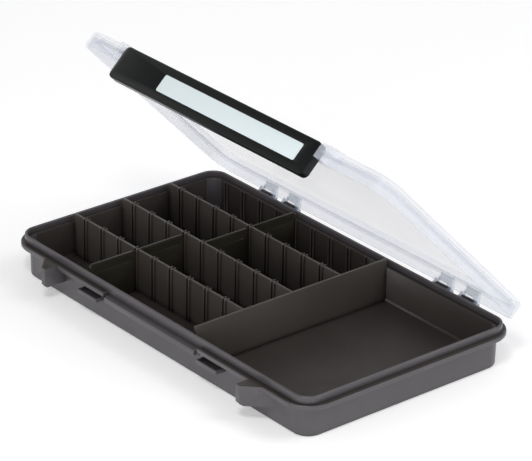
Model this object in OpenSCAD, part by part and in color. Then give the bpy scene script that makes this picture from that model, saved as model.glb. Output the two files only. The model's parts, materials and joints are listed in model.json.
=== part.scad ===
// Flat latched box for small tackle: a divided tray, a clear lid on four pin hinges
// along the back, and a long front latch with a label card. It is drawn with its
// lid raised and its latch hanging clear. Origin: middle of the tray's underside,
// +X along the length, -Y towards the latch, +Z up. Millimetres.

/* [Tray] */
// Length over the upright rim
rim_len = 350; // [320:1:400]
// Width over the upright rim
rim_wid = 197; // [180:1:230]
// Height of the rim's top edge above the table
rim_top = 34.9; // [33:0.1:45]
// Thickness of the rim
rim_t = 2.2; // [1.8:0.1:2.6]
// Outside radius of the rim's corners
rim_corner = 14; // [12:0.5:20]
// How far the rim stands above the flange
rim_rise = 5.9; // [5:0.1:7]
// How far the flange reaches out past the rim
flange_w = 5; // [4:0.1:6]
// Thickness of the flange
flange_t = 3.5; // [2.5:0.1:4]
// Outside radius of the flange's corners
flange_corner = 24; // [20:1:25]
// Radius on the flange's outer edges
flange_edge = 0.8; // [0.3:0.1:1.2]
// Width of the ledge inside the rim
ledge_w = 3.3; // [2.5:0.1:4]
// Depth of the ledge below the rim's top
ledge_drop = 4.7; // [3.5:0.1:5.5]
// Thickness of the tub wall under the flange
tub_t = 2.7; // [2.2:0.1:3.2]
// Outside radius of the tub's corners
tub_corner = 14; // [11:0.5:15]
// Outward lean of the tub's outer face, in degrees
tub_draft = 1.2; // [0.5:0.1:2]
// Thickness of the floor
floor_t = 2; // [1.6:0.1:3]
// Radius round the foot of the tub
foot_r = 2; // [1:0.1:3]
// Radius between the floor and the tub wall
floor_fillet = 2.5; // [1:0.1:3]

/* [Compartments] */
// Thickness of the fixed walls
wall_t = 2; // [1.6:0.1:2.6]
// Height of the fixed walls' top edge
wall_top = 37.5; // [36.5:0.1:38]
// Place of the full-width cross wall, right of the middle
cross_wall_x = 41.6; // [20:0.1:60]
// Number of divider slots in each row
slots = 9; // [5:1:9]
// Distance from one slot to the next
slot_pitch = 21.75; // [18:0.05:22]
// Width of a slot rib
rib_w = 1.2; // [0.8:0.1:1.6]
// How far a slot rib stands out from its wall
rib_d = 1.5; // [1:0.1:2]
// How far the ribs rise above the fixed walls
rib_rise = 0.5; // [0:0.1:0.8]

/* [Loose dividers] */
// Thickness of a divider
divider_t = 1.8; // [1.4:0.1:2.2]
// Height of a divider's top edge above the table
divider_top = 36.9; // [34:0.1:37.5]
// Gap between a divider and what holds it
divider_gap = 0.2; // [0.1:0.05:0.4]
// Radius on a divider's foot corners
divider_foot_r = 3; // [3:0.1:5]
// Radius on a divider's top corners
divider_corner = 1.6; // [0.5:0.1:3]
// Depth of the stepped band along a divider's top
band_depth = 0.3; // [0.1:0.05:0.5]
// Height of that band
band_h = 4.5; // [2:0.1:8]
// Distance from a divider's top edge down to that band
band_drop = 3.2; // [2:0.1:6]
// Distance from a divider's ends to that band
band_inset = 5; // [3:0.1:9]
// Slot used in the two front rows
front_slot = 4; // [1:1:5]
// Slot used in the two rear rows
rear_slot = 5; // [1:1:5]

/* [Bumpers and catch] */
// Distance from the middle to a bumper's inner face
bumper_x = 116.5; // [114.5:0.5:120]
// How far a bumper reaches out past the flange
bumper_reach = 11; // [9:0.5:13]
// Width of a bumper's flat nose
bumper_nose = 4.5; // [3:0.1:8]
// Height of a bumper
bumper_h = 16; // [12:0.5:18]
// Wall thickness of a bumper
bumper_t = 2.2; // [1.6:0.1:3]
// Bevel along a bumper's lower nose edge
bumper_bevel = 2; // [0.5:0.1:3]
// Length of the catch ledge
catch_len = 114; // [80:1:124]
// How far the catch ledge reaches out past the flange
catch_reach = 1; // [0.4:0.1:1]
// Depth of the catch ledge's top below the flange's top
catch_drop = 2.2; // [1:0.1:3]
// Height of the catch ledge's front face
catch_h = 4.3; // [3.6:0.1:6]
// Width of the notch at each end of the catch ledge
catch_notch = 2.2; // [1:0.1:4]
// Length of a keeper, the small open pocket under the flange
keeper_len = 23.5; // [18:0.5:26]
// Height of a keeper
keeper_h = 3.2; // [2.4:0.1:4]
// Wall thickness of a keeper
keeper_t = 1.4; // [1:0.1:2]
// Depth of a keeper's top below the flange's top
keeper_drop = 8.2; // [7.5:0.1:10]
// Distance from the middle to the middle of the left keeper
keeper_left = 76.8; // [72:0.2:90]
// Distance from the middle to the middle of the right keeper
keeper_right = 69.2; // [69:0.2:90]

/* [Lid] */
// Gap between the rim and the lid's skirt
lid_gap = 1; // [0.7:0.1:1.3]
// Thickness of the lid's skirt
skirt_t = 2; // [1.4:0.1:2.5]
// Thickness of the lid's top panel
panel_t = 2; // [1.4:0.1:2.5]
// Height of the closed lid from its lower edge to its top
lid_h = 13.7; // [12.5:0.1:16]
// Gap between the closed lid and the flange
lid_rest_gap = 0.3; // [0.2:0.05:0.5]
// Radius round the lid's top edge
lid_edge = 3; // [2.2:0.1:4]
// Thickness of the ribs that hold the seal
seal_rib = 1.3; // [1:0.1:1.6]
// How far the seal rib hangs below the seal's seat
seal_lip = 1.8; // [1:0.1:2.2]
// Width of the seal
seal_w = 3; // [2.6:0.1:3.2]
// Height of the seal
seal_h = 3; // [2:0.1:3.2]
// Gap between the seal and the rib beside it
seal_play = 0.2; // [0.1:0.05:0.4]
// Gap between the rim and the seal
seal_gap = 0.3; // [0.25:0.05:0.5]
// How far the lid is raised, in degrees
lid_raised = 46; // [0:0.5:120]

/* [Hinges] */
// Distance from the rim's ends to the outer hinges
hinge_end = 55.5; // [40:0.5:58]
// Distance between the two hinges of a pair
hinge_pair = 29; // [26:0.5:40]
// Distance from the flange's edge back to the hinge axis
hinge_back = 3.5; // [3.5:0.1:5]
// Depth of the hinge axis below the flange's top
hinge_drop = 1.5; // [1:0.1:2]
// Radius of a hinge barrel
barrel_r = 3.2; // [2.8:0.1:3.2]
// Length of a hinge barrel
barrel_len = 13; // [10:0.5:16]
// Thickness of a hinge ear
ear_t = 2.6; // [2:0.1:3.5]
// Gap between a barrel and an ear
ear_gap = 0.3; // [0.2:0.05:0.5]
// Height of a hinge ear on the skirt
ear_h = 8.5; // [6:0.1:9]
// Angle at which a hinge ear's back edge leaves its round end
ear_lean = 25; // [15:1:35]
// Radius of a hinge pin
pin_r = 1.2; // [0.8:0.05:1.5]
// Running clearance round a pin
pin_clear = 0.05; // [0.02:0.01:0.1]
// Gap between a barrel and the block above it
block_gap = 0.8; // [0.5:0.1:1.2]
// Number of grooves across that block
grooves = 2; // [1:1:3]
// Depth of those grooves
groove_depth = 0.6; // [0.2:0.1:1]

/* [Latch] */
// Length of the latch
latch_len = 228; // [216:1:228]
// Height of the latch
latch_h = 27.8; // [26:0.1:29]
// Depth of the latch, front to back
latch_depth = 8.7; // [7.5:0.1:8.9]
// Wall thickness of the latch
latch_t = 2.2; // [1.6:0.1:2.4]
// Radius of the latch's corners
latch_corner = 4.5; // [4.4:0.1:6]
// Radius round the latch's front edge
latch_edge = 2; // [1.5:0.1:2.1]
// Height of the sloped strip along the latch's lower front edge
slope_low = 5.5; // [3:0.1:6]
// Width of the sloped strip at each end of the latch
slope_end = 5.5; // [4:0.5:12]
// Depth of those slopes at the edge
slope_depth = 1.5; // [0.8:0.1:1.8]
// Distance from the lid's skirt to the latch's front face
latch_stand = 12; // [11.8:0.1:13]
// Distance from the lid's top down to the latch's top edge
latch_drop = 2; // [1:0.1:3]
// Distance from the latch's top edge down to its pivot
pivot_drop = 5; // [4.5:0.1:5.2]
// Distance from the latch's front face back to its pivot
pivot_back = 5.5; // [5:0.1:5.6]
// Width of a pivot lug's flat nose
lug_w = 6.6; // [6.2:0.1:8]
// Distance from the lid's top down to a pivot lug's top
lug_drop = 0.6; // [0.4:0.1:1.5]
// Radius along a pivot lug's top front edge
lug_edge = 5; // [3:0.5:6]
// Wall thickness of a pivot lug
lug_t = 2; // [1.6:0.1:2.4]
// Gap between the latch's ends and the lugs
lug_gap = 0.4; // [0.3:0.05:0.8]
// Radius of the boss inside each end of the latch
boss_r = 3.4; // [2.8:0.1:3.6]
// Length of that boss
boss_len = 6; // [4:0.5:10]
// Depth of the boss left past the pin's hole
boss_cap = 1; // [0.6:0.1:1.6]
// Radius of a latch pin
latch_pin_r = 1.25; // [1:0.05:1.5]
// Length of a latch pin inside its lug
pin_in_lug = 5; // [3:0.1:5]
// Gap past the inner end of a latch pin
pin_end_gap = 0.2; // [0.1:0.05:0.4]
// Height of the hook rib
hook_h = 3; // [2.5:0.1:3.2]
// Gap between the hook and the catch ledge's underside
hook_rise = 0.8; // [0.6:0.1:1.5]
// Gap between the hook and the front of the catch ledge when the latch hangs free
hook_gap = 0.4; // [0.3:0.05:0.6]
// How much shorter the hook is than the catch ledge
hook_short = 8; // [6:0.5:12]
// Number of stiffening ribs behind the face
stiffeners = 5; // [2:1:9]
// Distance from the latch's ends to the outer stiffening ribs
stiffener_end = 30; // [15:1:60]
// Thickness of a stiffening rib
stiffener_t = 1.4; // [1:0.1:2]

/* [Label] */
// Length of the label card
card_len = 160; // [100:1:180]
// Height of the label card
card_h = 14.2; // [10:0.1:16]
// Thickness of the label card
card_t = 0.35; // [0.2:0.05:0.45]
// Radius of the card's corners
card_corner = 1.5; // [0.5:0.1:3]
// Depth of the recess that holds the card
recess_depth = 0.5; // [0.5:0.05:0.8]
// Gap round the card in its recess
card_gap = 0.3; // [0.1:0.05:0.5]
// Distance from the middle to the middle of the card
card_x = 20.5; // [0:0.5:22]
// Distance from the latch's top edge down to the card
card_drop = 7; // [5:0.1:9]

/* [Hidden] */
rows = 4;
$fn = 64;
cut = 1;

// Heights
flange_top = rim_top - rim_rise;
flange_low = flange_top - flange_t;
ledge_z = rim_top - ledge_drop;
lid_low = flange_top + lid_rest_gap;
lid_top = lid_low + lid_h;
panel_low = lid_top - panel_t;
seal_low = rim_top + seal_gap;
seal_seat = seal_low + seal_h;
catch_top = flange_top - catch_drop;
catch_low = catch_top - catch_h;
keeper_top = flange_top - keeper_drop;

// Distances out from the rim's outer face, for the sections that run round it
tub_in = -(rim_t + ledge_w);
tub_out = tub_in + tub_t;
foot_out = tub_out - flange_low * tan(tub_draft);
foot_x = foot_out - tub_out - foot_r * tan(45 - tub_draft / 2);
core_in = tub_in - cut;
skirt_in = lid_gap;
skirt_out = skirt_in + skirt_t;
seal_in = -rim_t / 2 - seal_w / 2;
seal_rib_in = seal_in - seal_rib - seal_play;

// Inside of the tub
tub_x = rim_len / 2 + tub_in;
tub_y = rim_wid / 2 + tub_in;
row_w = (2 * tub_y - (rows - 1) * wall_t) / rows;
slot_w = divider_t + 2 * divider_gap;
cross_left = cross_wall_x - wall_t / 2;

// Hinge line
flange_y = rim_wid / 2 + flange_w;
skirt_y = rim_wid / 2 + skirt_out;
hinge_y = flange_y + hinge_back;
hinge_z = flange_top - hinge_drop;
hinge_outer_x = rim_len / 2 - hinge_end;
hinge_inner_x = hinge_outer_x - hinge_pair;
hinge_xs = [-hinge_outer_x, -hinge_inner_x, hinge_inner_x, hinge_outer_x];
pin_len = barrel_len + 2 * (ear_gap + ear_t);

// Front line
root_y = -(rim_wid / 2 + foot_out);
catch_y = -flange_y - catch_reach;

// Latch, on the closed lid
latch_face = -skirt_y - latch_stand;
latch_top = lid_top - latch_drop;
latch_low = latch_top - latch_h;
pivot_y = latch_face + pivot_back;
pivot_z = latch_top - pivot_drop;
hook_tip = catch_y - hook_gap;
hook_low = catch_low - hook_rise - hook_h;
lug_x = latch_len / 2 + lug_gap;
latch_core = latch_edge + cut / 2;

function slot_x(k) = cross_wall_x - (slots + 1 - k) * slot_pitch;
function row_y(r) = -tub_y + (r - 0.5) * row_w + (r - 1) * wall_t;
function wall_y(w) = -tub_y + w * row_w + (w - 0.5) * wall_t;

// Rectangle with round corners
module round_rect(len, wid, r) {
    square([len - 2 * r, wid], center = true);
    square([len, wid - 2 * r], center = true);
    for (x = [-1, 1], y = [-1, 1])
        translate([x * (len / 2 - r), y * (wid / 2 - r)])
            circle(r);
}

// Carries a section round a rectangle with round corners. The section's x is the
// distance out from that rectangle, and its y is the height.
module around(len, wid, r) {
    a = len / 2 - r;
    b = wid / 2 - r;
    for (turn = [0:3]) {
        across = turn % 2 == 0 ? a : b;
        along = turn % 2 == 0 ? b : a;
        rotate([0, 0, 90 * turn]) {
            translate([across + r, along, 0])
                rotate([90, 0, 0])
                    linear_extrude(2 * along)
                        children();
            translate([across, along, 0])
                rotate_extrude(angle = 90)
                    translate([r, 0])
                        children();
        }
    }
}

module around_rim() {
    around(rim_len, rim_wid, rim_corner)
        children();
}

// Upright slab whose outline lies a given distance out from the rim
module rim_slab(out, low, high) {
    translate([0, 0, low])
        linear_extrude(high - low)
            round_rect(rim_len + 2 * out, rim_wid + 2 * out, rim_corner + out);
}

// Straight bar along X between two places
module bar(from, to) {
    translate([min(from[0], to[0]), min(from[1], to[1]), min(from[2], to[2])])
        cube([abs(to[0] - from[0]), abs(to[1] - from[1]), abs(to[2] - from[2])]);
}

// Round bar along X
module rod(x, y, z, r, len) {
    translate([x - len / 2, y, z])
        rotate([0, 90, 0])
            cylinder(h = len, r = r);
}

// Outline in Y and Z, carried along X
module side_slab(x, len) {
    translate([x - len / 2, 0, 0])
        rotate([90, 0, 90])
            linear_extrude(len)
                children();
}

// Space inside the tub, with the fillet round its floor
module tub_space(top) {
    rim_slab(tub_in, floor_t + floor_fillet, top);
    rim_slab(tub_in - floor_fillet, floor_t, top);
    around_rim()
        translate([tub_in - floor_fillet, floor_t + floor_fillet])
            circle(floor_fillet);
}

// Section of the leaning tub wall, out from its top edge
module tub_section() {
    polygon([
        [-tub_t - cut, 0],
        [foot_x, 0],
        [foot_x + foot_r * cos(tub_draft), foot_r - foot_r * sin(tub_draft)],
        [0, flange_low],
        [0, flange_low + flange_edge],
        [-tub_t - cut, flange_low + flange_edge]
    ]);
    translate([foot_x, foot_r])
        circle(foot_r);
}

// Section of the flange, out from its outer edge
module flange_section() {
    inner = -flange_w - rim_t;
    translate([inner, flange_low])
        square([-flange_edge - inner, flange_t]);
    translate([inner, flange_low + flange_edge])
        square([-inner, flange_t - 2 * flange_edge]);
    for (z = [flange_low + flange_edge, flange_top - flange_edge])
        translate([-flange_edge, z])
            circle(flange_edge);
}

// Section of the ledge and the upright rim, out from the rim's outer face
module rim_section() {
    low = flange_low + flange_edge / 2;
    translate([core_in, low])
        square([-core_in, ledge_z - low]);
    translate([-rim_t, low])
        square([rim_t, rim_top - rim_t / 2 - low]);
    translate([-rim_t / 2, rim_top - rim_t / 2])
        circle(rim_t / 2);
}

// Pair of ribs that hold a divider, standing out from a wall face towards side
module slot_ribs(y, side, top) {
    for (k = [1:slots], s = [-1, 1]) {
        x = slot_x(k) + s * (slot_w / 2 + rib_w / 2);
        bar([x - rib_w / 2, y - side * cut / 2, floor_t - cut / 2],
            [x + rib_w / 2, y + side * rib_d, top]);
    }
}

// Plan of the guard at one side of the latch: flat nose and sloped outer side,
// with its faces moved in by a wall thickness
module bumper_plan(back_y, inset) {
    nose_y = -flange_y - bumper_reach + inset;
    nose_end = bumper_x + bumper_nose - inset * tan(22.5);
    polygon([
        [bumper_x + inset, back_y],
        [bumper_x + inset, nose_y],
        [nose_end, nose_y],
        [nose_end + root_y - nose_y, root_y],
        [nose_end + root_y - nose_y, back_y]
    ]);
}

// Guard at one side of the latch, open underneath
module bumper() {
    nose_y = -flange_y - bumper_reach;
    low = flange_top - bumper_h;
    long = bumper_nose + root_y - nose_y;
    difference() {
        translate([0, 0, low])
            linear_extrude(bumper_h)
                bumper_plan(root_y + cut, 0);
        translate([0, 0, low - bumper_t])
            linear_extrude(bumper_h)
                bumper_plan(root_y + cut / 2, bumper_t);
        side_slab(bumper_x + long / 2, long + 2 * cut)
            polygon([
                [nose_y - cut, low - cut],
                [nose_y + bumper_bevel + cut, low - cut],
                [nose_y - cut, low + bumper_bevel + cut]
            ]);
    }
}

// Ledge that the latch hooks under
module catch_ledge() {
    bar([-catch_len / 2, catch_y, catch_low], [catch_len / 2, root_y + cut, catch_top]);
}

// Dip in the flange over the catch ledge, with a notch at each end
module catch_dip() {
    rim_y = rim_wid / 2;
    bar([-catch_len / 2, -rim_y, catch_top], [catch_len / 2, catch_y - cut, flange_top + cut]);
    for (s = [-1, 1])
        bar([s * catch_len / 2, catch_y - cut, catch_low - cut],
            [s * (catch_len / 2 - catch_notch), -rim_y - flange_w / 2, flange_top + cut]);
}

// Small pocket under the flange, open at its top
module keeper(x) {
    difference() {
        bar([x - keeper_len / 2, catch_y, keeper_top - keeper_h],
            [x + keeper_len / 2, root_y + cut, keeper_top]);
        bar([x - keeper_len / 2 + keeper_t, catch_y + keeper_t, keeper_top - keeper_h + keeper_t],
            [x + keeper_len / 2 - keeper_t, root_y + 2 * cut, keeper_top + cut]);
    }
}

// Hinge barrel on the back of the flange
module hinge_barrel(x) {
    difference() {
        union() {
            rod(x, hinge_y, hinge_z, barrel_r, barrel_len);
            bar([x - barrel_len / 2, flange_y - cut, flange_low],
                [x + barrel_len / 2, hinge_y, flange_top]);
        }
        rod(x, hinge_y, hinge_z, pin_r + pin_clear, barrel_len + 2 * cut);
    }
}

module tray() {
    color("#59565c") {
        difference() {
            union() {
                around(rim_len + 2 * tub_out, rim_wid + 2 * tub_out, tub_corner)
                    tub_section();
                around(rim_len + 2 * flange_w, rim_wid + 2 * flange_w, flange_corner)
                    flange_section();
                around_rim()
                    rim_section();
                rim_slab(core_in + cut / 2, 0, ledge_z);
                catch_ledge();
                keeper(-keeper_left);
                keeper(keeper_right);
                bumper();
                mirror([1, 0, 0])
                    bumper();
            }
            tub_space(ledge_z + cut);
            rim_slab(-rim_t, ledge_z, ledge_z + cut);
            catch_dip();
        }
        slot_ribs(-tub_y, 1, ledge_z);
        slot_ribs(tub_y, -1, ledge_z);
        for (x = hinge_xs)
            hinge_barrel(x);
    }
}

// Long wall with slot ribs on both faces, shaped to the tub's left end and floor
module row_wall(w) {
    y = wall_y(w);
    color("#4b484a")
        intersection() {
            union() {
                bar([-tub_x - cut, y - wall_t / 2, 0], [cross_left, y + wall_t / 2, wall_top]);
                slot_ribs(y - wall_t / 2, -1, wall_top + rib_rise);
                slot_ribs(y + wall_t / 2, 1, wall_top + rib_rise);
            }
            tub_space(wall_top + 2 * cut);
        }
}

module cross_wall() {
    color("#55504e")
        intersection() {
            bar([cross_left, -tub_y - cut, 0], [cross_left + wall_t, tub_y + cut, wall_top]);
            tub_space(wall_top + 2 * cut);
        }
}

// Loose plate across one row, standing in a pair of slots
module divider(row, slot) {
    len = row_w - 2 * divider_gap;
    high = divider_top - floor_t;
    color("#2f2f26")
        translate([slot_x(slot), row_y(row), floor_t])
            difference() {
                rotate([90, 0, 90])
                    translate([0, 0, -divider_t / 2])
                        linear_extrude(divider_t)
                            divider_outline(len, high);
                for (s = [-1, 1])
                    bar([s * (divider_t / 2 - band_depth), -len / 2 + band_inset,
                            high - band_drop - band_h],
                        [s * divider_t, len / 2 - band_inset, high - band_drop]);
            }
}

// Divider outline: round corners, with the foot corners clear of the tub's fillet
module divider_outline(len, high) {
    difference() {
        translate([-len / 2, 0])
            square([len, high]);
        for (s = [-1, 1]) {
            translate([s * len / 2, 0])
                circle(divider_foot_r);
            translate([s * len / 2, high])
                circle(divider_corner);
        }
    }
}

// Places what moves with the lid, raised about the hinge line
module on_lid() {
    translate([0, hinge_y, hinge_z])
        rotate([-lid_raised, 0, 0])
            translate([0, -hinge_y, -hinge_z])
                children();
}

// Section of the lid's edge: skirt, rounded top edge and the seal's seat
module lid_section() {
    inner_edge = lid_edge - skirt_t;
    difference() {
        union() {
            translate([seal_rib_in, lid_low])
                square([skirt_out - seal_rib_in, lid_h - lid_edge]);
            translate([seal_rib_in, lid_low])
                square([skirt_out - lid_edge - seal_rib_in, lid_h]);
            translate([skirt_out - lid_edge, lid_top - lid_edge])
                circle(lid_edge);
        }
        translate([seal_rib_in - cut, lid_low - cut])
            square([skirt_in - seal_rib_in + cut, seal_seat - lid_low + cut]);
    }
    translate([seal_rib_in, seal_seat - seal_lip])
        square([seal_rib, panel_low - seal_seat + seal_lip]);
    translate([seal_rib_in, panel_low])
        square([skirt_out - lid_edge - seal_rib_in, inner_edge]);
}

// Hinge ear on the lid's back skirt
module hinge_ear(x) {
    difference() {
        side_slab(x, ear_t) {
            translate([hinge_y, hinge_z])
                circle(barrel_r);
            polygon([
                [skirt_y - skirt_t / 2, lid_low + lid_rest_gap],
                [skirt_y - skirt_t / 2, lid_low + lid_rest_gap + ear_h],
                [skirt_y + skirt_t / 2, lid_low + lid_rest_gap + ear_h],
                [hinge_y + barrel_r * cos(ear_lean), hinge_z + barrel_r * sin(ear_lean)],
                [hinge_y, lid_low + lid_rest_gap]
            ]);
        }
        rod(x, hinge_y, hinge_z, pin_r + pin_clear, ear_t + 2 * cut);
    }
}

// Grooved block between a pair of hinge ears
module hinge_block(x) {
    low = hinge_z + barrel_r + block_gap;
    high = lid_low + ear_h;
    len = barrel_len + 2 * ear_gap;
    band = (high - low) / (2 * grooves + 1);
    difference() {
        bar([x - len / 2, skirt_y - skirt_t / 2, low],
            [x + len / 2, skirt_y + hinge_back, high]);
        for (k = [1:grooves])
            bar([x - len, skirt_y + hinge_back - groove_depth, low + (2 * k - 1) * band],
                [x + len, skirt_y + hinge_back + cut, low + 2 * k * band]);
    }
}

// Plan of the lug that carries the latch's right end, with its faces moved in by a
// wall thickness
module lug_plan(back_y, inset) {
    nose_end = lug_x + lug_w - inset * tan(22.5);
    nose_y = latch_face + inset;
    polygon([
        [lug_x + inset, back_y],
        [lug_x + inset, nose_y],
        [nose_end, nose_y],
        [nose_end + back_y - nose_y, back_y]
    ]);
}

// Lug that carries the latch's right end: nose, sloped outer side, hollow underneath
module pivot_lug() {
    high = lid_top - lug_drop;
    back_y = -skirt_y + skirt_t;
    long = lug_w + back_y - latch_face;
    core_x = lug_x + pin_in_lug + lug_t / 2;
    difference() {
        intersection() {
            translate([0, 0, lid_low])
                linear_extrude(high - lid_low)
                    lug_plan(back_y, 0);
            side_slab(lug_x + long / 2, long + 2 * cut) {
                translate([latch_face, lid_low - cut])
                    square([back_y + cut - latch_face, high - lug_edge - lid_low + cut]);
                translate([latch_face + lug_edge, lid_low - cut])
                    square([back_y + cut - latch_face - lug_edge, high + cut - lid_low]);
                translate([latch_face + lug_edge, high - lug_edge])
                    circle(lug_edge);
            }
        }
        translate([0, 0, lid_low - cut])
            linear_extrude(high - lug_edge / 2 - lid_low + cut)
                intersection() {
                    lug_plan(-skirt_y, lug_t);
                    translate([core_x, latch_face])
                        square([long, long]);
                }
        rod(lug_x + pin_in_lug / 2, pivot_y, pivot_z, latch_pin_r + pin_clear,
            pin_in_lug + 2 * pin_clear);
    }
}

module lid() {
    color("#dfe3ec", 0.55)
        on_lid() {
            around_rim()
                lid_section();
            rim_slab(seal_rib_in + cut / 2, panel_low, lid_top);
            for (x = hinge_xs) {
                hinge_block(x);
                for (s = [-1, 1])
                    hinge_ear(x + s * (barrel_len / 2 + ear_gap + ear_t / 2));
            }
            pivot_lug();
            mirror([1, 0, 0])
                pivot_lug();
        }
}

module lid_seal() {
    color("#c9ccd2")
        on_lid()
            around_rim()
                translate([seal_in, seal_low])
                    square([seal_w, seal_h]);
}

module hinge_pin(x) {
    color("#b9bcc0")
        rod(x, hinge_y, hinge_z, pin_r, pin_len);
}

// Section of the latch's edge, seen with its front face up
module latch_section() {
    difference() {
        union() {
            translate([-latch_core, 0])
                square([latch_core, latch_depth - latch_edge]);
            translate([-latch_core, 0])
                square([latch_core - latch_edge, latch_depth]);
            translate([-latch_edge, latch_depth - latch_edge])
                circle(latch_edge);
        }
        translate([-latch_core - cut, -cut])
            square([latch_core + cut - latch_t, latch_depth - latch_t + cut]);
    }
}

// Wedge along X that slopes the front face down to an edge on the X axis
module slope_cut(wid, len) {
    side_slab(0, len)
        polygon([
            [wid, 0],
            [-cut, -slope_depth * (wid + cut) / wid],
            [-cut, cut],
            [wid, cut]
        ]);
}

// Latch shell lying on its back, with its front face up
module latch_shell() {
    difference() {
        union() {
            around(latch_len, latch_h, latch_corner)
                latch_section();
            translate([0, 0, latch_depth - latch_t])
                linear_extrude(latch_t)
                    square([latch_len - 2 * latch_edge, latch_h - 2 * latch_edge], center = true);
        }
        translate([card_x, latch_h / 2 - card_drop - card_h / 2, latch_depth - recess_depth])
            linear_extrude(recess_depth + cut)
                round_rect(card_len + 2 * card_gap, card_h + 2 * card_gap,
                    card_corner + card_gap);
        translate([0, -latch_h / 2, latch_depth])
            slope_cut(slope_low, latch_len + 2 * cut);
        for (s = [-1, 1])
            translate([s * latch_len / 2, 0, latch_depth])
                rotate([0, 0, s * 90])
                    slope_cut(slope_end, latch_h + 2 * cut);
    }
}

// Places what lies on the latch's shell onto the lid's front
module on_latch() {
    on_lid()
        translate([0, latch_face + latch_depth, latch_low + latch_h / 2])
            rotate([90, 0, 0])
                children();
}

module latch() {
    boss_x = latch_len / 2 - latch_t - boss_len / 2 + cut / 2;
    hook_len = catch_len - hook_short;
    face_in = latch_face + latch_t - cut / 2;
    color("#16191b") {
        difference() {
            union() {
                on_latch()
                    latch_shell();
                on_lid() {
                    for (s = [-1, 1]) {
                        rod(s * boss_x, pivot_y, pivot_z, boss_r, boss_len + cut);
                        bar([s * (boss_x - boss_len / 2 - cut / 2), face_in, pivot_z - boss_r / 2],
                            [s * (boss_x + boss_len / 2 + cut / 2), pivot_y, pivot_z + boss_r / 2]);
                    }
                    bar([-hook_len / 2, face_in, hook_low],
                        [hook_len / 2, hook_tip, hook_low + hook_h]);
                    for (k = [0:stiffeners - 1]) {
                        x = (k / (stiffeners - 1) - 0.5) * (latch_len - 2 * stiffener_end);
                        bar([x - stiffener_t / 2, face_in, latch_low + latch_t / 2],
                            [x + stiffener_t / 2, latch_face + pivot_back, latch_top - latch_t / 2]);
                    }
                }
            }
            on_lid()
                for (s = [-1, 1])
                    rod(s * latch_len / 2, pivot_y, pivot_z, latch_pin_r + pin_clear,
                        2 * (latch_t + boss_len - boss_cap));
        }
    }
}

module label_card() {
    color("#dfe8ea")
        on_latch()
            translate([card_x, latch_h / 2 - card_drop - card_h / 2, latch_depth - recess_depth])
                linear_extrude(card_t)
                    round_rect(card_len, card_h, card_corner);
}

module latch_pin(side) {
    inner = latch_len / 2 - latch_t - boss_len + boss_cap + pin_end_gap;
    outer = lug_x + pin_in_lug;
    color("#b9bcc0")
        on_lid()
            rod(side * (inner + outer) / 2, pivot_y, pivot_z, latch_pin_r, outer - inner);
}

tray();
row_wall(1);  // row_wall_front
row_wall(2);  // row_wall_middle
row_wall(3);  // row_wall_rear
cross_wall();
divider(1, front_slot);  // divider_row_1
divider(2, front_slot);  // divider_row_2
divider(3, rear_slot);  // divider_row_3
divider(4, rear_slot);  // divider_row_4
lid();
lid_seal();
latch();
label_card();
hinge_pin(hinge_xs[0]);  // hinge_pin_outer_left
hinge_pin(hinge_xs[1]);  // hinge_pin_inner_left
hinge_pin(hinge_xs[2]);  // hinge_pin_inner_right
hinge_pin(hinge_xs[3]);  // hinge_pin_outer_right
latch_pin(-1);  // latch_pin_left
latch_pin(1);  // latch_pin_right
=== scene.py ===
import bpy
import bmesh
import json
import math
from mathutils import Matrix, Vector

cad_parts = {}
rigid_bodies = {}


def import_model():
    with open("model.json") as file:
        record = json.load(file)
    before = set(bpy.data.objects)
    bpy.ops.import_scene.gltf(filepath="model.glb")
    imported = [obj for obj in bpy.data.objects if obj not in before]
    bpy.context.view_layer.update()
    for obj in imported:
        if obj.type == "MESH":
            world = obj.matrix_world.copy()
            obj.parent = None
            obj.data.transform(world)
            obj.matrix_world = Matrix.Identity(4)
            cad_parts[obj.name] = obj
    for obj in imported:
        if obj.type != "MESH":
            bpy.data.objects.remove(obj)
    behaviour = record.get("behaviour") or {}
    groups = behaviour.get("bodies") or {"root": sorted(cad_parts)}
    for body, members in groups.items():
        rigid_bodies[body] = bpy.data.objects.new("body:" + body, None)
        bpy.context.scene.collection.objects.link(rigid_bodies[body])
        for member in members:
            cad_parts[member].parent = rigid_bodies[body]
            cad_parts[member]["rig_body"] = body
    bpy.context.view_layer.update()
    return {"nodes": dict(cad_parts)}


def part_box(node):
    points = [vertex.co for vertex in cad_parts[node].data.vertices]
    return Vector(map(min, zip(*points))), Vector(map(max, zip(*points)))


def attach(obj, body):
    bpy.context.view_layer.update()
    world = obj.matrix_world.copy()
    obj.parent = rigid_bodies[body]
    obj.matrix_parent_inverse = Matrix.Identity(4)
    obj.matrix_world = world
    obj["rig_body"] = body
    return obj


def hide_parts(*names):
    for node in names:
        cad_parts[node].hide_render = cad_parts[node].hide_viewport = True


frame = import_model()
print("frame loaded:", len(frame["nodes"]), "nodes")

mm = 0.001
plasticIor = 1.49

# the part of its range that each pattern uses: a narrow band gives crisp marks
bands = {
    "whole": (0.0, 1.0),
    "flow": (0.3, 0.7),
    "rub": (0.35, 0.65),
    "scratch": (0.66, 0.74),
    "paintedShade": (0.3, 0.85),
}


def paint(code):
    # "#rrggbb" as it looks on screen, turned into the linear colour that shaders use
    parts = [int(code[i:i + 2], 16) / 255 for i in (1, 3, 5)]
    return [p / 12.92 if p <= 0.04045 else ((p + 0.055) / 1.055) ** 2.4 for p in parts] + [1.0]


def newLook(name):
    look = bpy.data.materials.new(name)
    look.use_nodes = True
    tree = look.node_tree
    tree.nodes.clear()
    output = tree.nodes.new("ShaderNodeOutputMaterial")
    shader = tree.nodes.new("ShaderNodeBsdfPrincipled")
    tree.links.new(shader.outputs["BSDF"], output.inputs["Surface"])
    return look, tree, shader


def addNode(tree, kind, values=None, **settings):
    node = tree.nodes.new(kind)
    for key, value in settings.items():
        setattr(node, key, value)
    for key, value in (values or {}).items():
        node.inputs[key].default_value = value
    return node


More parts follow.
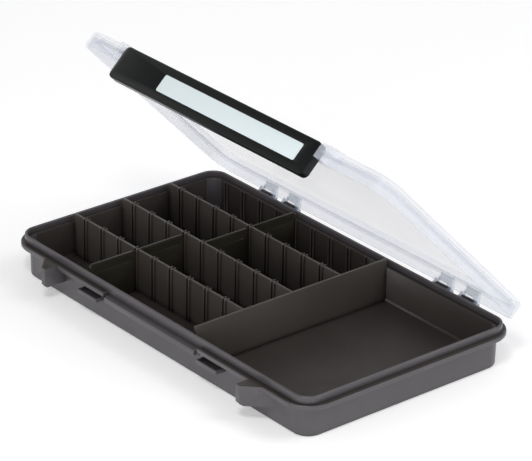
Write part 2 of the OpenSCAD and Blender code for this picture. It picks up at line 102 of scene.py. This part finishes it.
def cloudy(tree, scale, detail, stretch=(1, 1, 1)):
    # soft noise on object coordinates, pulled out along the axes
    place = addNode(tree, "ShaderNodeTexCoord")
    mapping = addNode(tree, "ShaderNodeMapping", {"Scale": stretch})
    noise = addNode(tree, "ShaderNodeTexNoise", {"Scale": scale, "Detail": detail})
    tree.links.new(place.outputs["Object"], mapping.inputs["Vector"])
    tree.links.new(mapping.outputs["Vector"], noise.inputs["Vector"])
    return noise.outputs["Fac"]


def spread(tree, source, low, high, band="whole"):
    fromLow, fromHigh = bands[band]
    remap = addNode(tree, "ShaderNodeMapRange",
                    {"From Min": fromLow, "From Max": fromHigh, "To Min": low, "To Max": high})
    tree.links.new(source, remap.inputs["Value"])
    return remap.outputs["Result"]


def blendColours(tree, share, first, second):
    # share is a socket, and each colour is a "#rrggbb" code or another colour socket
    mix = addNode(tree, "ShaderNodeMix", data_type="RGBA")
    tree.links.new(share, mix.inputs["Factor"])
    for socket, colour in (("A", first), ("B", second)):
        target = [s for s in mix.inputs if s.name == socket and s.type == "RGBA"][0]
        if isinstance(colour, str):
            target.default_value = paint(colour)
        else:
            tree.links.new(colour, target)
    return [s for s in mix.outputs if s.type == "RGBA"][0]


def openness(tree, reach):
    # 0 deep in a groove or seam that is narrower than the reach, 1 on an open face: the mask for painted
    # shade
    near = addNode(tree, "ShaderNodeAmbientOcclusion", {"Distance": reach}, samples=8)
    return spread(tree, near.outputs["AO"], 0, 1, "paintedShade")


def raised(tree, height, strength, depth, below=None):
    # bump of a real depth in metres, stacked on another bump where below is given
    bump = addNode(tree, "ShaderNodeBump", {"Strength": strength, "Distance": depth})
    tree.links.new(height, bump.inputs["Height"])
    if below is not None:
        tree.links.new(below, bump.inputs["Normal"])
    return bump.outputs["Normal"]


def mouldedPlastic(name, s):
    # opaque moulding: spark-eroded grain, faint flow marks, rubbed patches and fine scratches, with
    # painted shade darkening its grooves and seams
    look, tree, shader = newLook(name)
    flow = cloudy(tree, s["flowScale"], detail=4, stretch=s["flowStretch"])
    scratches = cloudy(tree, s["scratchScale"], detail=2, stretch=s["scratchStretch"])
    rubbed = cloudy(tree, s["rubScale"], detail=5)
    grain = cloudy(tree, s["grainScale"], detail=2)
    colour = blendColours(tree, spread(tree, flow, 0, 1, "flow"), s["shade"], s["colour"])
    scratchShare = spread(tree, scratches, 0, s["scratchShow"], "scratch")
    colour = blendColours(tree, scratchShare, colour, s["scratchColour"])
    # painted shade: grooves and seams take a darker colour where ambient occlusion finds them closed in
    colour = blendColours(tree, openness(tree, s["paintedShadeReach"]), s["paintedShadeColour"], colour)
    roughness = spread(tree, rubbed, s["roughLow"], s["roughHigh"], "rub")
    normal = raised(tree, grain, s["grainStrength"], s["grainDepth"])
    normal = raised(tree, flow, s["waveStrength"], s["waveDepth"], normal)
    tree.links.new(colour, shader.inputs["Base Color"])
    tree.links.new(roughness, shader.inputs["Roughness"])
    tree.links.new(normal, shader.inputs["Normal"])
    shader.inputs["IOR"].default_value = plasticIor
    shader.inputs["Specular IOR Level"].default_value = s["gloss"]
    return look


trayLook = mouldedPlastic("trayPlastic", {
    "colour": "#4d4a4d", "shade": "#474447", "gloss": 0.6,
    "paintedShadeReach": 0.006, "paintedShadeColour": "#2c2a2b",
    "flowScale": 14, "flowStretch": (1, 1.6, 1.6),
    "scratchScale": 60, "scratchStretch": (1, 14, 14), "scratchShow": 0.10, "scratchColour": "#77747a",
    "rubScale": 35, "roughLow": 0.33, "roughHigh": 0.44,
    "grainScale": 2600, "grainStrength": 0.35, "grainDepth": 0.00006,
    "waveStrength": 0.25, "waveDepth": 0.0004,
})
# a darker, warmer copy of the tray plastic for the inside of the tub: painted shade
tubShadedLook = mouldedPlastic("tubShadedPlastic", {
    "colour": "#3d3836", "shade": "#373230", "gloss": 0.3,
    "paintedShadeReach": 0.006, "paintedShadeColour": "#171413",
    "flowScale": 14, "flowStretch": (1, 1.6, 1.6),
    "scratchScale": 60, "scratchStretch": (1, 14, 14), "scratchShow": 0.12, "scratchColour": "#6f6a68",
    "rubScale": 35, "roughLow": 0.33, "roughHigh": 0.44,
    "grainScale": 2600, "grainStrength": 0.35, "grainDepth": 0.00006,
    "waveStrength": 0.25, "waveDepth": 0.0004,
})
# a darker, warmer copy of the tray plastic for the walls inside the tub: painted shade and painted warm
# reflection
wallShadedLook = mouldedPlastic("wallShadedPlastic", {
    "colour": "#4a4542", "shade": "#433e3b", "gloss": 0.4,
    "paintedShadeReach": 0.006, "paintedShadeColour": "#171413",
    "flowScale": 18, "flowStretch": (1, 1, 0.5),
    "scratchScale": 70, "scratchStretch": (14, 14, 1), "scratchShow": 0.08, "scratchColour": "#716c6a",
    "rubScale": 40, "roughLow": 0.32, "roughHigh": 0.44,
    "grainScale": 2600, "grainStrength": 0.3, "grainDepth": 0.00006,
    "waveStrength": 0.2, "waveDepth": 0.0004,
})
dividerLook = mouldedPlastic("dividerPlastic", {
    "colour": "#302d25", "shade": "#28261f", "gloss": 0.35,
    "paintedShadeReach": 0.004, "paintedShadeColour": "#14130f",
    "flowScale": 40, "flowStretch": (1, 0.5, 3),
    "scratchScale": 90, "scratchStretch": (1, 1, 9), "scratchShow": 0.25, "scratchColour": "#4d4a3e",
    "rubScale": 60, "roughLow": 0.28, "roughHigh": 0.42,
    "grainScale": 1800, "grainStrength": 0.2, "grainDepth": 0.00005,
    "waveStrength": 0.3, "waveDepth": 0.0003,
})
latchLook = mouldedPlastic("latchPlastic", {
    "colour": "#0a0c0d", "shade": "#07090a", "gloss": 0.24,
    "paintedShadeReach": 0.003, "paintedShadeColour": "#060707",
    "flowScale": 20, "flowStretch": (1, 2, 2),
    "scratchScale": 80, "scratchStretch": (1, 16, 16), "scratchShow": 0.05, "scratchColour": "#3a3d40",
    "rubScale": 50, "roughLow": 0.3, "roughHigh": 0.38,
    "grainScale": 3000, "grainStrength": 0.3, "grainDepth": 0.00005,
    "waveStrength": 0.15, "waveDepth": 0.0003,
})


def clearPlastic(name, s):
    # see-through moulding with a milky body, so what lies behind it stays soft and pale
    look, tree, shader = newLook(name)
    cloud = cloudy(tree, s["cloudScale"], detail=4, stretch=s["cloudStretch"])
    rubbed = cloudy(tree, s["rubScale"], detail=5)
    wave = cloudy(tree, s["waveScale"], detail=2, stretch=s["cloudStretch"])
    colour = blendColours(tree, cloud, s["shade"], s["colour"])
    alpha = spread(tree, cloud, s["alphaLow"], s["alphaHigh"], "flow")
    roughness = spread(tree, rubbed, s["roughLow"], s["roughHigh"], "rub")
    normal = raised(tree, wave, s["waveStrength"], s["waveDepth"])
    tree.links.new(colour, shader.inputs["Base Color"])
    tree.links.new(alpha, shader.inputs["Alpha"])
    tree.links.new(roughness, shader.inputs["Roughness"])
    tree.links.new(normal, shader.inputs["Normal"])
    shader.inputs["Transmission Weight"].default_value = s["clear"]
    shader.inputs["Specular IOR Level"].default_value = s["gloss"]
    shader.inputs["IOR"].default_value = plasticIor
    return look


lidLook = clearPlastic("lidPlastic", {
    "colour": "#b0afbb", "shade": "#a7a6b3", "clear": 0.1, "gloss": 0.35,
    "cloudScale": 9, "cloudStretch": (1, 2, 2), "alphaLow": 0.15, "alphaHigh": 0.18,
    "rubScale": 30, "roughLow": 0.12, "roughHigh": 0.2,
    "waveScale": 8, "waveStrength": 0.2, "waveDepth": 0.00004,
})
# a paler, less clear copy of the lid plastic on the skirts and edges: painted highlight
edgeHighlightLook = clearPlastic("lidEdgeHighlightPlastic", {
    "colour": "#e6eaf4", "shade": "#dce1ec", "clear": 0.1, "gloss": 0.5,
    "cloudScale": 20, "cloudStretch": (1, 2, 2), "alphaLow": 0.27, "alphaHigh": 0.33,
    "rubScale": 40, "roughLow": 0.12, "roughHigh": 0.22,
    "waveScale": 20, "waveStrength": 0.2, "waveDepth": 0.00005,
})
# a darker, bluish, less clear copy of the lid plastic round the hinge pins: painted shade and painted
# reflection of the steel pins
clipShadedLook = clearPlastic("clipShadedPlastic", {
    "colour": "#8294aa", "shade": "#6a7c93", "clear": 0.1, "gloss": 0.6,
    "cloudScale": 60, "cloudStretch": (1, 2, 2), "alphaLow": 0.62, "alphaHigh": 0.72,
    "rubScale": 80, "roughLow": 0.12, "roughHigh": 0.22,
    "waveScale": 60, "waveStrength": 0.2, "waveDepth": 0.00005,
})
sealLook = clearPlastic("sealRubber", {
    "colour": "#e6e6ec", "shade": "#dedee6", "clear": 0.1, "gloss": 0.2,
    "cloudScale": 30, "cloudStretch": (1, 1, 1), "alphaLow": 0.08, "alphaHigh": 0.12,
    "rubScale": 60, "roughLow": 0.4, "roughHigh": 0.55,
    "waveScale": 50, "waveStrength": 0.2, "waveDepth": 0.0002,
})


def printedCard(name, s):
    # blank coated card: pale tint with faint paper fibre
    look, tree, shader = newLook(name)
    fibre = cloudy(tree, s["fibreScale"], detail=6, stretch=s["fibreStretch"])
    sheen = cloudy(tree, s["sheenScale"], detail=4)
    colour = blendColours(tree, fibre, s["shade"], s["colour"])
    roughness = spread(tree, sheen, s["roughLow"], s["roughHigh"])
    normal = raised(tree, fibre, s["fibreStrength"], s["fibreDepth"])
    tree.links.new(colour, shader.inputs["Base Color"])
    tree.links.new(roughness, shader.inputs["Roughness"])
    tree.links.new(normal, shader.inputs["Normal"])
    return look


cardLook = printedCard("labelCard", {
    "colour": "#e0eaec", "shade": "#d8e4e7",
    "fibreScale": 420, "fibreStretch": (1, 2.5, 2.5), "fibreStrength": 0.25, "fibreDepth": 0.00004,
    "sheenScale": 90, "roughLow": 0.38, "roughHigh": 0.5,
})


def drawnWire(name, s):
    # steel wire with fine rings of drawing marks
    look, tree, shader = newLook(name)
    rings = cloudy(tree, s["markScale"], detail=2, stretch=s["markStretch"])
    colour = blendColours(tree, rings, s["shade"], s["colour"])
    roughness = spread(tree, rings, s["roughLow"], s["roughHigh"])
    normal = raised(tree, rings, s["markStrength"], s["markDepth"])
    tree.links.new(colour, shader.inputs["Base Color"])
    tree.links.new(roughness, shader.inputs["Roughness"])
    tree.links.new(normal, shader.inputs["Normal"])
    shader.inputs["Metallic"].default_value = 1.0
    return look


pinLook = drawnWire("pinSteel", {
    "colour": "#c6c9cc", "shade": "#a9adb2",
    "markScale": 300, "markStretch": (6, 1, 1), "markStrength": 0.2, "markDepth": 0.00002,
    "roughLow": 0.22, "roughHigh": 0.38,
})
print("finishes made")


def addObject(name, data):
    thing = bpy.data.objects.new(name, data)
    bpy.context.scene.collection.objects.link(thing)
    return thing


rounding = {
    "weld": 0.001 * mm,  # points closer than this become one
    "flatAngle": 0.4,    # degrees under which two faces count as one flat face
    "sharpAngle": 38,    # degrees over which an outer corner is rounded
    "steps": 2,          # faces across a rounded corner
    "shadeAngle": 32,    # degrees over which a corner still shades as a crease
}


def moulded(nodeName, s):
    # copy of a frame solid with its flat faces joined up and its outer corners rounded;
    # where s has a zone, it says which of the looks a face takes
    source = frame["nodes"][nodeName]
    shape = bmesh.new()
    shape.from_mesh(source.data)
    bmesh.ops.remove_doubles(shape, verts=shape.verts, dist=rounding["weld"])
    bmesh.ops.dissolve_limit(shape, angle_limit=math.radians(rounding["flatAngle"]),
                             verts=shape.verts, edges=shape.edges)
    sharpAngle = math.radians(rounding["sharpAngle"])
    sharp = [e for e in shape.edges if e.is_manifold and e.calc_face_angle_signed() > sharpAngle]
    while sharp:
        run, sharp = connectedRun(sharp)
        bmesh.ops.bevel(shape, geom=run, offset=s["corner"], offset_type="OFFSET",
                        segments=rounding["steps"], profile=0.5, affect="EDGES",
                        clamp_overlap=True, material=-1)
        sharp = [e for e in sharp if e.is_valid]
    if "zone" in s:
        for face in shape.faces:
            face.material_index = s["zone"](face)
    mesh = bpy.data.meshes.new(nodeName + "Moulded")
    shape.to_mesh(mesh)
    shape.free()
    piece = addObject(nodeName + "Moulded", mesh)
    for look in s["looks"]:
        mesh.materials.append(look)
    mesh.polygons.foreach_set("use_smooth", [True] * len(mesh.polygons))
    mesh.set_sharp_from_angle(angle=math.radians(rounding["shadeAngle"]))
    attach(piece, source["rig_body"])
    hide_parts(nodeName)


def connectedRun(edges):
    # gives the first edge with all that it touches, and the edges left over, in a fixed order;
    # each run is rounded by itself, so one tight corner doesn't thin the others
    run = [edges[0]]
    waiting = set(edges[1:])
    for edge in run:
        for vert in edge.verts:
            near = [e for e in vert.link_edges if e in waiting]
            waiting.difference_update(near)
            run.extend(near)
    return run, [e for e in edges if e in waiting]


# inside of the tub, as the row walls and the cross wall reach it
hollow = {
    "halfLength": -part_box("row_wall_middle")[0][0],
    "halfWidth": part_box("cross_wall")[1][1],
    "floor": 1.9 * mm,
    "corner": 12.5 * mm,
    "slack": 0.4 * mm,
}


def insideTub(face):
    # 0 outside of the tray, 1 inside of the tub, which takes the darker, warmer copy of the plastic as
    # painted shade
    s = hollow
    point = face.calc_center_median()
    acrossX = max(abs(point.x) - s["halfLength"] + s["corner"], 0)
    acrossY = max(abs(point.y) - s["halfWidth"] + s["corner"], 0)
    return int(point.z > s["floor"] and math.hypot(acrossX, acrossY) < s["corner"] + s["slack"])


trayPiece = {"slot": "tray", "corner": 0.5 * mm, "looks": [trayLook, tubShadedLook], "zone": insideTub}
moulded("tray", trayPiece)

# the lid's own zones: clips close round each hinge pin, darker and bluish as painted shade and painted
# reflection of the pins, a big flat panel, and the edges, paler as painted highlight
hingePlaces = ("outer_left", "inner_left", "inner_right", "outer_right")
clips = {
    "pins": [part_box("hinge_pin_" + place) for place in hingePlaces],
    "reach": 11 * mm,   # from the pin's middle outwards
    "side": 1.5 * mm,   # past the pin's ends
    "panelArea": 0.02,  # square metres, which only the panel's two faces have
}


def lidZone(face):
    # 0 panel, 1 clip with painted shade and reflection, 2 edge with painted highlight
    s = clips
    if any(all(inClip(vert.co, low, high, s) for vert in face.verts) for low, high in s["pins"]):
        return 1
    return 0 if face.calc_area() > s["panelArea"] else 2


def inClip(point, low, high, s):
    aside = math.hypot(point.y - (low[1] + high[1]) / 2, point.z - (low[2] + high[2]) / 2)
    return low[0] - s["side"] < point.x < high[0] + s["side"] and aside < s["reach"]


lidLooks = [lidLook, clipShadedLook, edgeHighlightLook]
lidPiece = {"slot": "clear_lid", "corner": 0.3 * mm, "looks": lidLooks, "zone": lidZone}
moulded("lid", lidPiece)

latchPiece = {"slot": "latch", "corner": 0.4 * mm, "looks": [latchLook]}
moulded("latch", latchPiece)

sealPiece = {"slot": "seal", "corner": 0.3 * mm, "looks": [sealLook]}
moulded("lid_seal", sealPiece)

rowWallPiece = {"slot": "tray", "corner": 0.25 * mm, "looks": [wallShadedLook]}
for place in ("front", "middle", "rear"):
    moulded("row_wall_" + place, rowWallPiece)

crossWallPiece = {"slot": "tray", "corner": 0.35 * mm, "looks": [wallShadedLook]}
moulded("cross_wall", crossWallPiece)

dividerPiece = {"slot": "divider", "corner": 0.2 * mm, "looks": [dividerLook]}
for row in (1, 2, 3, 4):
    moulded("divider_row_" + str(row), dividerPiece)

cardPiece = {"slot": "label_card", "corner": 0.1 * mm, "looks": [cardLook]}
moulded("label_card", cardPiece)

pinPiece = {"slot": "pin", "corner": 0.2 * mm, "looks": [pinLook]}
for place in hingePlaces:
    moulded("hinge_pin_" + place, pinPiece)
for place in ("left", "right"):
    moulded("latch_pin_" + place, pinPiece)
print("pieces made")

lamps = (
    {"name": "keyLight", "place": (1.6, 1.4, 2.4), "size": 1.4, "power": 24},
    {"name": "fillLight", "place": (1.4, -2.4, 1.0), "size": 1.4, "power": 17},
    {"name": "topLight", "place": (0.9, -1.1, 2.1), "size": 0.45, "power": 15},
)


def softBox(s):
    # square area light that looks at the origin
    lamp = bpy.data.lights.new(s["name"], "AREA")
    lamp.shape = "SQUARE"
    lamp.size = s["size"]
    lamp.energy = s["power"]
    holder = addObject(s["name"], lamp)
    holder.location = s["place"]
    holder.rotation_euler = (-Vector(s["place"])).to_track_quat("-Z", "Y").to_euler()


for lamp in lamps:
    softBox(lamp)

ground = {"size": 12.0, "colour": "#f4f4f5", "roughness": 0.85, "glow": 0.29}


def paleFloor(s):
    # the floor glows a little, so it stays nearly white right up to the shadow
    shape = bmesh.new()
    bmesh.ops.create_grid(shape, x_segments=4, y_segments=4, size=s["size"] / 2)
    mesh = bpy.data.meshes.new("floor")
    shape.to_mesh(mesh)
    shape.free()
    look, _, shader = newLook("paleFloor")
    shader.inputs["Base Color"].default_value = paint(s["colour"])
    shader.inputs["Roughness"].default_value = s["roughness"]
    shader.inputs["Emission Color"].default_value = paint(s["colour"])
    shader.inputs["Emission Strength"].default_value = s["glow"]
    mesh.materials.append(look)
    return addObject("floor", mesh)


floor = paleFloor(ground)

tent = {"colour": "#ffffff", "walls": 1.0, "ceiling": 0.22}


def lightTent(s):
    # bright walls all round, and a darker ceiling
    world = bpy.data.worlds.new("studioSky")
    world.use_nodes = True
    tree = world.node_tree
    sky = tree.nodes["Background"]
    sky.inputs["Color"].default_value = paint(s["colour"])
    way = addNode(tree, "ShaderNodeTexCoord")
    height = addNode(tree, "ShaderNodeSeparateXYZ")
    tree.links.new(way.outputs["Generated"], height.inputs["Vector"])
    strength = spread(tree, height.outputs["Z"], s["walls"], s["ceiling"])
    tree.links.new(strength, sky.inputs["Strength"])
    return world


bpy.context.scene.world = lightTent(tent)
bpy.context.scene.view_settings.view_transform = "Standard"

# the camera stands where the photograph was taken from: yaw, pitch and roll in degrees
viewpoint = {
    "place": (1.69308, -1.38906, 1.11751),
    "yaw": 50.479,
    "pitch": 25.505,
    "roll": -0.811,
    "lens": 218.18,
    "sensor": 36.0,
    "farEnd": 50,
}


def photoCamera(s):
    yaw, pitch, roll = (math.radians(s[k]) for k in ("yaw", "pitch", "roll"))
    ahead = Vector((-math.sin(yaw) * math.cos(pitch), math.cos(yaw) * math.cos(pitch), -math.sin(pitch)))
    right = ahead.cross(Vector((0, 0, 1))).normalized()
    down = ahead.cross(right)
    turnedRight = math.cos(roll) * right + math.sin(roll) * down
    turnedDown = -math.sin(roll) * right + math.cos(roll) * down
    axes = Matrix((turnedRight, -turnedDown, -ahead)).transposed().to_4x4()
    lens = bpy.data.cameras.new("photoCamera")
    lens.lens = s["lens"]
    lens.sensor_width = s["sensor"]
    lens.sensor_fit = "HORIZONTAL"
    lens.clip_end = s["farEnd"]
    holder = addObject("photoCamera", lens)
    holder.matrix_world = Matrix.Translation(s["place"]) @ axes
    return holder


bpy.context.scene.camera = photoCamera(viewpoint)
print("studio set")
